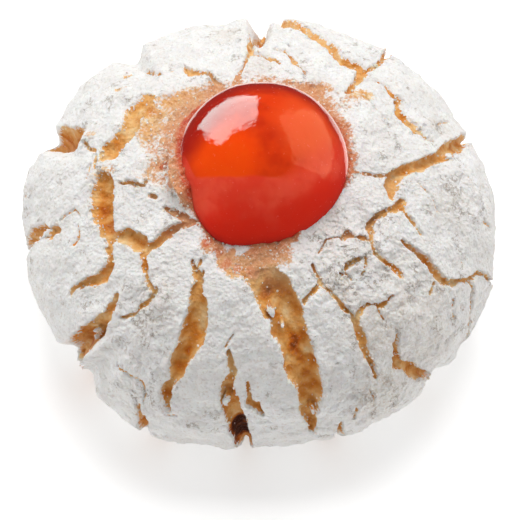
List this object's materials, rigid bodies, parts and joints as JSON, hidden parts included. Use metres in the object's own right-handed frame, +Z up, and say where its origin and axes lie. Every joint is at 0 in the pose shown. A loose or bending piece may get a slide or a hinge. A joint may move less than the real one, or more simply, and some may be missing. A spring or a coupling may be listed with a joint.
{
  "type": "almond paste cookie",
  "caption": "Domed, cracked almond paste cookie dusted with icing sugar, with a candied cherry pressed into its top.",
  "frame": {"origin": "centre of the flat underside, on the surface the cookie rests on", "axes": "+Z up through the cherry, -Y towards the front, the side with the widest split, +X to the right of it"},
  "size_m": [0.0473, 0.0469, 0.0317],
  "materials": {
    "cookie": "powdery matte",
    "cherry": "glossy syrup glaze"
  },
  "bodies": {
    "root": {"cookie": "cookie", "cherry": "cherry"}
  },
  "joints": []
}
